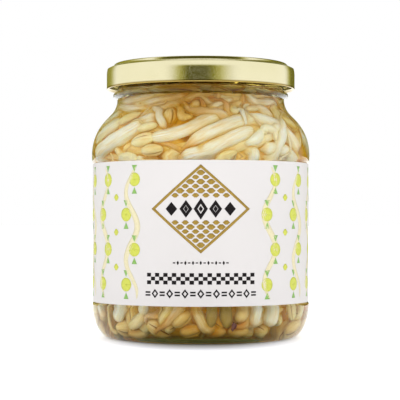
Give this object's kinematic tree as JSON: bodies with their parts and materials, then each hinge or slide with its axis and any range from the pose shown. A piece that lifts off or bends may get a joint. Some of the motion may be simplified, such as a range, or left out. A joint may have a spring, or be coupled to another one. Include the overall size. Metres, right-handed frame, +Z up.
{
  "type": "jar of bean sprouts",
  "caption": "Round glass jar with a gold twist-off lid and a plain-worded paper wrap label, packed with mung bean sprouts in brine.",
  "frame": {"origin": "centre of the base ring, on the surface that the jar stands on", "axes": "+Z up along the jar's axis, the front of the label faces -Y, +X to the viewer's right"},
  "size_m": [0.08, 0.08, 0.1003],
  "materials": {
    "glass": "clear flint glass, a little green where it is thick, fire-polished",
    "lid_lacquer": "tinplate under a transparent gold lacquer, satin",
    "seal_compound": "soft cream sealing compound",
    "label_paper": null,
    "sprout": "wet, translucent, cream-white plant stems",
    "bean": "wet, pale-yellow seed leaves with a fine grain",
    "bean_olive": "wet, olive seed leaves"
  },
  "bodies": {
    "jar": {"glass_jar": "glass", "label": "label_paper", "bean_floor_end": "bean", "bean_floor_pale": "bean", "bean_ledge": "bean", "bean_olive": "bean_olive", "bean_olive_twin": "bean_olive", "bean_perch": "bean", "bean_pillow": "bean", "bean_rosy": "bean", "bean_shoulder": "bean", "bean_smile": "bean", "bean_split": "bean", "bean_tooth": "bean", "bean_white_round": "bean", "sprout_arch": "sprout", "sprout_back_01": "sprout", "sprout_back_02": "sprout", "sprout_back_03": "sprout", "sprout_back_04": "sprout", "sprout_back_05": "sprout", "sprout_back_06": "sprout", "sprout_back_07": "sprout", "sprout_back_08": "sprout", "sprout_back_09": "sprout", "sprout_back_10": "sprout", "sprout_back_11": "sprout", "sprout_back_12": "sprout", "sprout_back_13": "sprout", "sprout_back_14": "sprout", "sprout_back_15": "sprout", "sprout_back_16": "sprout", "sprout_curl": "sprout", "sprout_dropper": "sprout", "sprout_end_white": "sprout", "sprout_front_low": "sprout", "sprout_high_arch": "sprout", "sprout_hook": "sprout", "sprout_left_rim": "sprout", "sprout_left_upper": "sprout", "sprout_left_white": "sprout", "sprout_low_arch": "sprout", "sprout_low_bent": "sprout", "sprout_low_far_left": "sprout", "sprout_low_left": "sprout", "sprout_low_reed": "sprout", "sprout_low_right": "sprout", "sprout_low_slant": "sprout", "sprout_low_thick": "sprout", "sprout_neck_left": "sprout", "sprout_neck_right": "sprout", "sprout_right_rim": "sprout", "sprout_sill": "sprout", "sprout_strap": "sprout", "sprout_tan": "sprout", "sprout_thin_arch": "sprout", "sprout_upright": "sprout"},
    "seal": {"lid_seal": "seal_compound"},
    "lid": {"lid": "lid_lacquer"}
  },
  "joints": [
    {"name": "lid_rise", "type": "slide", "parent": "jar", "child": "seal", "axis": [0, 0, 1], "range_m": [0, 0.0022]},
    {"name": "lid_twist", "type": "hinge", "parent": "seal", "child": "lid", "pos_m": [0, 0, 0.095], "axis": [0, 0, 1], "range_deg": [0, 67]}
  ],
  "couplings": [
    {"joint": "lid_rise", "follows": "lid_twist", "m_per_rad": 0.00188}
  ]
}
